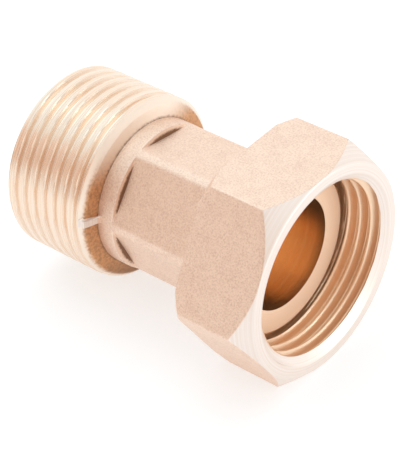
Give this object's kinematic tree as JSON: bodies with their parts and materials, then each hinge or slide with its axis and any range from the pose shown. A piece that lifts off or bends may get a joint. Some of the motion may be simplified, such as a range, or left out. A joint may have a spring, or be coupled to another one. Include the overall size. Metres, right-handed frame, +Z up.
{
  "type": "half union",
  "caption": "Brass half union: a male-threaded tail piece with a hexagon neck and a flat seat, and the captive hexagon nut that turns on it to draw a pipe end onto the seat.",
  "frame": {"origin": "centre of the flat sealing seat, on the pipe axis", "axes": "+X along the pipe axis out of the nut's mouth, +Z up, square to the flat of the nut that faces up"},
  "size_m": [0.0454, 0.0346, 0.03],
  "materials": {
    "tail_brass": "shot-blasted forging, with turned thread, seat and bore",
    "nut_brass": "shot-blasted forging, with turned chamfer, mouth and thread"
  },
  "bodies": {
    "tail": {"tail_piece": "tail_brass"},
    "nut": {"union_nut": "nut_brass"}
  },
  "joints": [
    {"name": "nut_spin", "type": "hinge", "parent": "tail", "child": "nut", "pos_m": [0, 0, 0], "axis": [1, 0, 0], "continuous": true}
  ]
}
